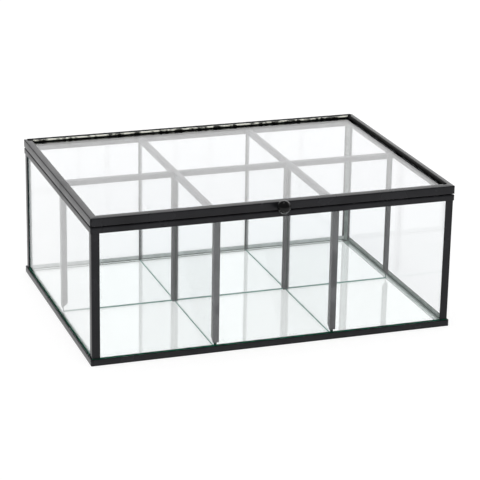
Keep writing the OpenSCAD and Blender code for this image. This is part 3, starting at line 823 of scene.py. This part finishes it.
for node in ("long_cap", "short_cap_front_left", "short_cap_front_right",
             "short_cap_rear_left", "short_cap_rear_right"):
    low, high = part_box(node)
    size = high - low
    runs_deep = size.y > size.x
    width, length = (size.x, size.y) if runs_deep else (size.y, size.x)
    across = (-1, 0, 0) if runs_deep else (0, 1, 0)
    place = ((low.x + high.x) / 2, (low.y + high.y) / 2, low.z)
    bar(node, capping(width, size.z, CHANNEL_SHEET, width / 2), length, across, UP, place,
        "box", "channels", material=veiled_channel_paint)
    print(f"{node}: {length / MM:.1f} mm long, {width / MM:.1f} mm wide")

# %% [markdown]
# ## Solder
# The corners are joined with solder, filed roughly and painted over. Each joint keeps a
# small lump. A tree sets an uneven ball on every point of a list: the points say where, the
# sizes say how far it bulges, and a fixed seed makes each ball a little different.

# %% The solder tree
solder_tree, given = new_tree("solder lumps", [
    ("Size", "Vector"), ("Size spread", "Float"), ("Unevenness", "Float"),
    ("Lump size", "Float"), ("Seed", "Int"), ("Material", "Material")])
spots = add(solder_tree, "GeometryNodeMeshToPoints", {"Mesh": given["Geometry"]}).outputs[0]
ball = add(solder_tree, "GeometryNodeMeshIcoSphere", {"Radius": 1.0, "Subdivisions": 4})
least = math_node(solder_tree, "SUBTRACT", 1.0, given["Size spread"])
most = math_node(solder_tree, "ADD", 1.0, given["Size spread"])
random_size = add(solder_tree, "FunctionNodeRandomValue", {2: least, 3: most,
                                                           "Seed": given["Seed"]},
                  data_type="FLOAT").outputs[1]
scale = add(solder_tree, "ShaderNodeVectorMath", {0: given["Size"], "Scale": random_size},
            operation="SCALE").outputs[0]
lumps = add(solder_tree, "GeometryNodeInstanceOnPoints", {
    "Points": spots, "Instance": ball.outputs[0], "Scale": scale}).outputs[0]
lumps = add(solder_tree, "GeometryNodeRealizeInstances", {"Geometry": lumps}).outputs[0]
lumps = uneven(solder_tree, lumps, given["Unevenness"], given["Lump size"], 0.7)
finish_tree(solder_tree, lumps, given["Material"])


def solder(name, points, size, body, seed):
    mesh = bpy.data.meshes.new(name)
    mesh.from_pydata([tuple(p) for p in points], [], [])
    grown = grow(name, mesh, solder_tree, {
        "Size": tuple(size), "Size spread": 0.12, "Unevenness": 0.7 * MM, "Lump size": 2.5 * MM,
        "Seed": seed, "Material": frame_paint}, smooth_all=True)
    print(f"{name}: {len(points)} lumps, {len(grown.polygons)} faces")
    return as_piece(name, grown, body, "frame")


# %% Solder at the corners and junctions
def corners(outline, inset, z):
    x0, x1, y0, y1 = outline[:4]
    return [(x, y, z) for x in (x0 + inset, x1 - inset) for y in (y0 + inset, y1 - inset)]


BASE_INSET, INSET = 1.6 * MM, 1.15 * MM
BASE_LUMP = (1.75 * MM, 1.75 * MM, 2.2 * MM)
RIM_LUMP = (1.1 * MM, 1.1 * MM, 1.8 * MM)
LID_LUMP = (1.1 * MM, 1.1 * MM, 2.4 * MM)
RIM_LUMP_UP = 1.9 * MM
solder("solder_base", corners(base, BASE_INSET, (base[4] + base[5]) / 2), BASE_LUMP, "box", 1)
solder("solder_rim", corners(rim, INSET, rim[4] + RIM_LUMP_UP), RIM_LUMP, "box", 2)
solder("solder_lid", corners(lid, INSET, (lid[4] + lid[5]) / 2), LID_LUMP, "lid", 3)

# %% [markdown]
# ## Sealant beads
# Along the rear bar the lid pane is bedded in dark sealant. The bar's top carries a wide flat
# dark ridge, and a lumpy pale run lies in front of it, where bar and pane meet. A thick dark bead
# covers the same joint along the right bar. The dark bead, the ridge and the right bead are
# painted shade: a black that mirrors almost nothing, laid where the bars show dark. The pale run
# is a painted highlight: its bright patches on near black, with a faint glow, stand in for
# speckled glints. The tree pulls a round section along a line, but its thickness follows a noise,
# so the run swells and thins as a hand-squeezed bead does. Flatness presses the section down onto
# its level.

# %% The bead tree
bead_tree, given = new_tree("squeezed bead", [
    ("Radius", "Float"), ("Step", "Float"), ("Swelling", "Float"), ("Swelling length", "Float"),
    ("Unevenness", "Float"), ("Lump size", "Float"), ("Seed", "Float"), ("Flatness", "Float"),
    ("Level", "Float"), ("Material", "Material")])
path = add(bead_tree, "GeometryNodeMeshToCurve", {0: given["Geometry"]})
path = add(bead_tree, "GeometryNodeResampleCurve", {"Curve": path.outputs[0],
                                                    "Length": given["Step"]}, mode="LENGTH")
ring = add(bead_tree, "GeometryNodeCurvePrimitiveCircle", {"Resolution": 14,
                                                           "Radius": given["Radius"]})
where = add(bead_tree, "GeometryNodeInputPosition").outputs[0]
swell = add(bead_tree, "ShaderNodeTexNoise", {
    "Vector": where, "W": given["Seed"], "Detail": 2.0,
    "Scale": math_node(bead_tree, "DIVIDE", 1.0, given["Swelling length"])},
    noise_dimensions="4D").outputs["Fac"]
swell = math_node(bead_tree, "MULTIPLY", math_node(bead_tree, "SUBTRACT", swell, 0.5),
                  given["Swelling"])
swell = math_node(bead_tree, "ADD", swell, 1.0)
bead = add(bead_tree, "GeometryNodeCurveToMesh", {
    "Curve": path.outputs[0], "Profile Curve": ring.outputs[0], "Scale": swell,
    "Fill Caps": True}).outputs[0]
bead = uneven(bead_tree, bead, given["Unevenness"], given["Lump size"], given["Seed"])
round_at = add(bead_tree, "GeometryNodeInputPosition").outputs[0]
round_z = add(bead_tree, "ShaderNodeSeparateXYZ", {0: round_at}).outputs["Z"]
above = math_node(bead_tree, "SUBTRACT", round_z, given["Level"])
press = math_node(bead_tree, "MULTIPLY", above,
                  math_node(bead_tree, "SUBTRACT", given["Flatness"], 1.0))
press = add(bead_tree, "ShaderNodeCombineXYZ", {"Z": press}).outputs[0]
bead = add(bead_tree, "GeometryNodeSetPosition", {"Geometry": bead, "Offset": press}).outputs[0]
finish_tree(bead_tree, bead, given["Material"])


# %% Lay the beads
def bead_run(name, start, end, radius, swelling, flat, material, slot, *nodes):
    """A bead from start to end on the lid. flat is its height over its width."""
    mesh = bpy.data.meshes.new(name + "_line")
    mesh.from_pydata([start, end], [(0, 1)], [])
    grown = grow(name, mesh, bead_tree, {
        "Radius": radius, "Step": 0.5 * MM, "Swelling": swelling, "Swelling length": 3.5 * MM,
        "Unevenness": 0.25 * radius, "Lump size": 1.6 * MM, "Seed": 5.0, "Flatness": flat,
        "Level": start[2], "Material": material}, smooth_all=True)
    print(f"{name}: {len(grown.polygons)} faces")
    return as_piece(name, grown, "lid", slot, *nodes)


low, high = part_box("lid_rear_bead")
BEAD_R, BEAD_IN, BEAD_UP = 0.5 * MM, 0.3 * MM, 0.25 * MM
bead_run("dark_bead", (low.x + BEAD_R, high.y - BEAD_IN, low.z + BEAD_UP),
         (high.x - BEAD_R, high.y - BEAD_IN, low.z + BEAD_UP), BEAD_R, 0.4, 1.0, shade_black_paint,
         "sealant", "lid_rear_bead")

rear_low, rear_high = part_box("lid_bar_rear")
RIDGE_R, RIDGE_END = 1.9 * MM, 2 * MM
ridge_y = rear_high.y - 2.1 * MM
bead_run("rear_ridge", (rear_low.x + RIDGE_END, ridge_y, rear_high.z),
         (rear_high.x - RIDGE_END, ridge_y, rear_high.z), RIDGE_R, 0.12, 0.25, shade_black_paint,
         "frame")

right_low, right_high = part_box("lid_bar_right")
RIGHT_R, RIGHT_DOWN = 1.75 * MM, 0.5 * MM
inner = right_low.x + 0.35 * MM
bead_run("right_bead", (inner, right_low.y + 6 * MM, right_high.z - RIGHT_DOWN),
         (inner, right_high.y - 5 * MM, right_high.z - RIGHT_DOWN), RIGHT_R, 0.1, 0.55,
         shade_black_paint, "sealant")

PALE_R, PALE_END, PALE_DOWN = 1.2 * MM, 5.2 * MM, 0.15 * MM
pale_y = rear_low.y + 0.2 * MM
bead_run("pale_run", (rear_low.x + PALE_END, pale_y, rear_high.z - PALE_DOWN),
         (rear_high.x - PALE_END, pale_y, rear_high.z - PALE_DOWN), PALE_R, 0.5, 0.4, sealant,
         "sealant")

# %% [markdown]
# ## Seam seals
# The joint between the walls and the base frame is filled with sealant. It climbs a little up the
# pane. Its tone from side to side is painted light and shade: front and left are a dark green
# painted shade, the green of the glass edges, and the right and rear are paler and glow with
# painted light. Under the rim of the floor pane lies a thin bed of it: a painted shadow with a
# faint glow under the right bar, and pale and white painted light under the left and rear. A thin
# line of it runs along the foot of each divider, and a bead of it up each rear corner inside.
# These glow with painted light too, and the left corner bead is a dark teal painted shade with a
# faint glow. All of these are pulled sections like the bars. The noise on seams and corners is
# coarser, so that the surface looks pressed in by hand.

# %% Fill the seams
PRESSED = 0.22 * MM
for side, inward, outer_face, climb, material in (
        ("front", (0, 1, 0), 0, 0.75 * MM, shaded_green_seal),
        ("rear", (0, -1, 0), 1, 0.9 * MM, glowing_pale_seal),
        ("left", (1, 0, 0), 0, 1.2 * MM, shaded_green_seal),
        ("right", (-1, 0, 0), 1, 0.3 * MM, glowing_grey_seal)):
    node = "seam_seal_" + side
    low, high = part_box(node)
    thin = 1 if side in ("front", "rear") else 0
    outer = (low, high)[outer_face][thin]
    depth = abs(span("wall_glass_" + side, thin)[outer_face] - outer)
    height = high.z - low.z
    place = (low + high) / 2
    place[thin], place.z = outer, low.z
    points = rounded([(0, 0, 0), (depth, 0, 0), (depth, height + climb, 0.05 * MM),
                      (0, height, 0.1 * MM)])
    bar(node, points, (high - low)[1 - thin], inward, UP, place, "box", "seam_sealant",
        step=1.5 * MM, material=material, uneven_by=PRESSED)
    print(f"{node}: {depth / MM:.2f} mm deep, {(height + climb) / MM:.2f} mm high")

# %% Bed the floor pane
BED = 0.07 * MM
BED_GAP = 0.02 * MM
BED_SHORT = 12 * MM
for side, inward, material in (("rear", (0, -1, 0), glowing_white_bed_seal), ("left", (1, 0, 0), glowing_pale_seal),
                               ("right", (-1, 0, 0), shadowed_bed_seal)):
    low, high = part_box("base_bar_" + side)
    thin = 1 if side == "rear" else 0
    outer = (high if inward[thin] < 0 else low)[thin] + inward[thin] * BASE_LEG
    width = (high - low)[thin] - BASE_LEG
    place = (low + high) / 2
    place[thin], place.z = outer, BASE_FOOT + BED_GAP
    points = rounded([(0, 0, 0), (width, 0, 0), (width, BED, 0), (0, BED, 0)])
    bar("bed_" + side, points, (high - low)[1 - thin] - BED_SHORT, inward, UP, place, "box",
        "seam_sealant", material=material, nodes=())
    print(f"bed {side}: {width / MM:.1f} mm wide")

# %% Seal the feet of the dividers
LINE_HALF, LINE_HIGH, LINE_LEAN, LINE_ROUND = 1.15 * MM, 0.4 * MM, 0.15 * MM, 0.1 * MM
line_top = LINE_HALF - LINE_LEAN
line_points = rounded([(-LINE_HALF, 0, 0), (LINE_HALF, 0, 0), (line_top, LINE_HIGH, LINE_ROUND),
                       (-line_top, LINE_HIGH, LINE_ROUND)])
dividers = [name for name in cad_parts.keys() if "_divider_" in name]
for name in dividers:
    low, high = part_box(name)
    size = high - low
    runs_deep = size.y > size.x
    bar("foot_" + name, line_points, size.y if runs_deep else size.x,
        (-1, 0, 0) if runs_deep else (0, 1, 0), UP,
        ((low.x + high.x) / 2, (low.y + high.y) / 2, low.z), "box", "seam_sealant",
        step=2 * MM, material=glowing_foot_seal, nodes=())
print("lines of sealant under dividers:", len(dividers))

# %% Corner beads
CORNER_BEAD = 1.9 * MM
inside_left, inside_right = span("wall_glass_left", 0)[1], span("wall_glass_right", 0)[0]
inside_rear = span("wall_glass_rear", 1)[0]
foot, head = span("base_glass", 2)[1], span("rim_bar_rear", 2)[0]
for name, x, x_way, y_way, material in (
        ("left", inside_left, (1, 0, 0), (0, -1, 0), shaded_teal_seal),
        ("right", inside_right, (0, -1, 0), (-1, 0, 0), glowing_grey_seal)):
    points = rounded([(0, 0, 0), (CORNER_BEAD, 0, 0), (CORNER_BEAD * 0.4, CORNER_BEAD * 0.4,
                                                      0.3 * MM), (0, CORNER_BEAD, 0)])
    bar("corner_bead_" + name, points, head - foot, x_way, y_way,
        (x, inside_rear, (foot + head) / 2), "box", "seam_sealant", step=1.5 * MM,
        material=material, uneven_by=PRESSED, nodes=())
print(f"corner beads: {CORNER_BEAD / MM:.1f} mm wide, {(head - foot) / MM:.1f} mm high")

# %% [markdown]
# ## Knob
# The knob is a turned ball on a short stem, soldered to the front of the lid. A turned shape
# is a profile spun around its axis. The profile here adds what turning and painting leave: a
# soft fillet where the ball meets its stem, and a collar whose edge is rounded by paint.

# %% The profile of the knob
low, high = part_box("lid_knob")
BALL_R = (high.x - low.x) / 2
knob_axis = Vector(((low.x + high.x) / 2, high.y, (low.z + high.z) / 2))
ball_out = high.y - low.y - BALL_R
STEM_R = 1.3 * MM
COLLAR_R = 2.2 * MM
profile = [(0, 0), (COLLAR_R, 0), (COLLAR_R, 0.35 * MM), (COLLAR_R * 0.94, 0.55 * MM),
           (COLLAR_R * 0.8, 0.66 * MM), (STEM_R * 1.15, 0.8 * MM), (STEM_R, 1.0 * MM)]
neck = math.pi - math.asin(STEM_R * 1.06 / BALL_R)
RINGS = 40
for i in range(RINGS + 1):
    angle = neck * (1 - i / RINGS)
    profile.append((BALL_R * math.sin(angle), ball_out + BALL_R * math.cos(angle)))
profile[-1] = (0, ball_out + BALL_R)
print("knob profile:", len(profile), "points")

# %% Spin the knob's profile
shape = bmesh.new()
TURNS = 64
rings = []
for radius, out in profile:
    if radius < 1e-9:
        rings.append([shape.verts.new(knob_axis + Vector((0, -out, 0)))])
        continue
    ring = []
    for k in range(TURNS):
        angle = 2 * math.pi * k / TURNS
        ring.append(shape.verts.new(knob_axis + Vector((radius * math.cos(angle), -out,
                                                        radius * math.sin(angle)))))
    rings.append(ring)
for a, b in zip(rings, rings[1:]):
    for k in range(TURNS):
        pair = [a[k % len(a)], a[(k + 1) % len(a)], b[(k + 1) % len(b)], b[k % len(b)]]
        shape.faces.new([v for i, v in enumerate(pair) if v not in pair[:i]])
bmesh.ops.recalc_face_normals(shape, faces=shape.faces[:])
knob_mesh = bpy.data.meshes.new("turned_knob")
shape.to_mesh(knob_mesh)
shape.free()
knob_mesh.shade_smooth()
knob_mesh.set_sharp_from_angle(angle=math.radians(50))
knob_mesh.materials.append(knob_paint)
as_piece("turned_knob", knob_mesh, "lid", "knob", "lid_knob")
print("knob:", len(knob_mesh.polygons), "faces, ball", round(2 * BALL_R / MM, 1), "mm")

# %% [markdown]
# ## Hinges
# The two hinges are plain leaves and knuckles that the solid model already shapes well. They
# keep that shape, and only get their finish: black paint on the leaves, bare wire as the pin.

# %% Paint the hinges
hinges = [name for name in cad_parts.keys() if name.startswith("hinge_")]
for name in hinges:
    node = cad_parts[name]
    node.data.materials.clear()
    node.data.materials.append(steel if name.endswith("_pin") else frame_paint)
print("hinge pieces:", len(hinges))

# %% [markdown]
# ## View
# The picture is shown as plain colours. Light crosses up to a dozen panes on its way here,
# each with two faces, so the render may follow a ray through many more of them than usual.

# %% View settings
bpy.context.scene.view_settings.view_transform = "Standard"
cycles = bpy.context.scene.cycles
cycles.max_bounces = 40
cycles.transmission_bounces = 40
cycles.glossy_bounces = 12
cycles.transparent_max_bounces = 40
bpy.context.view_layer.update()
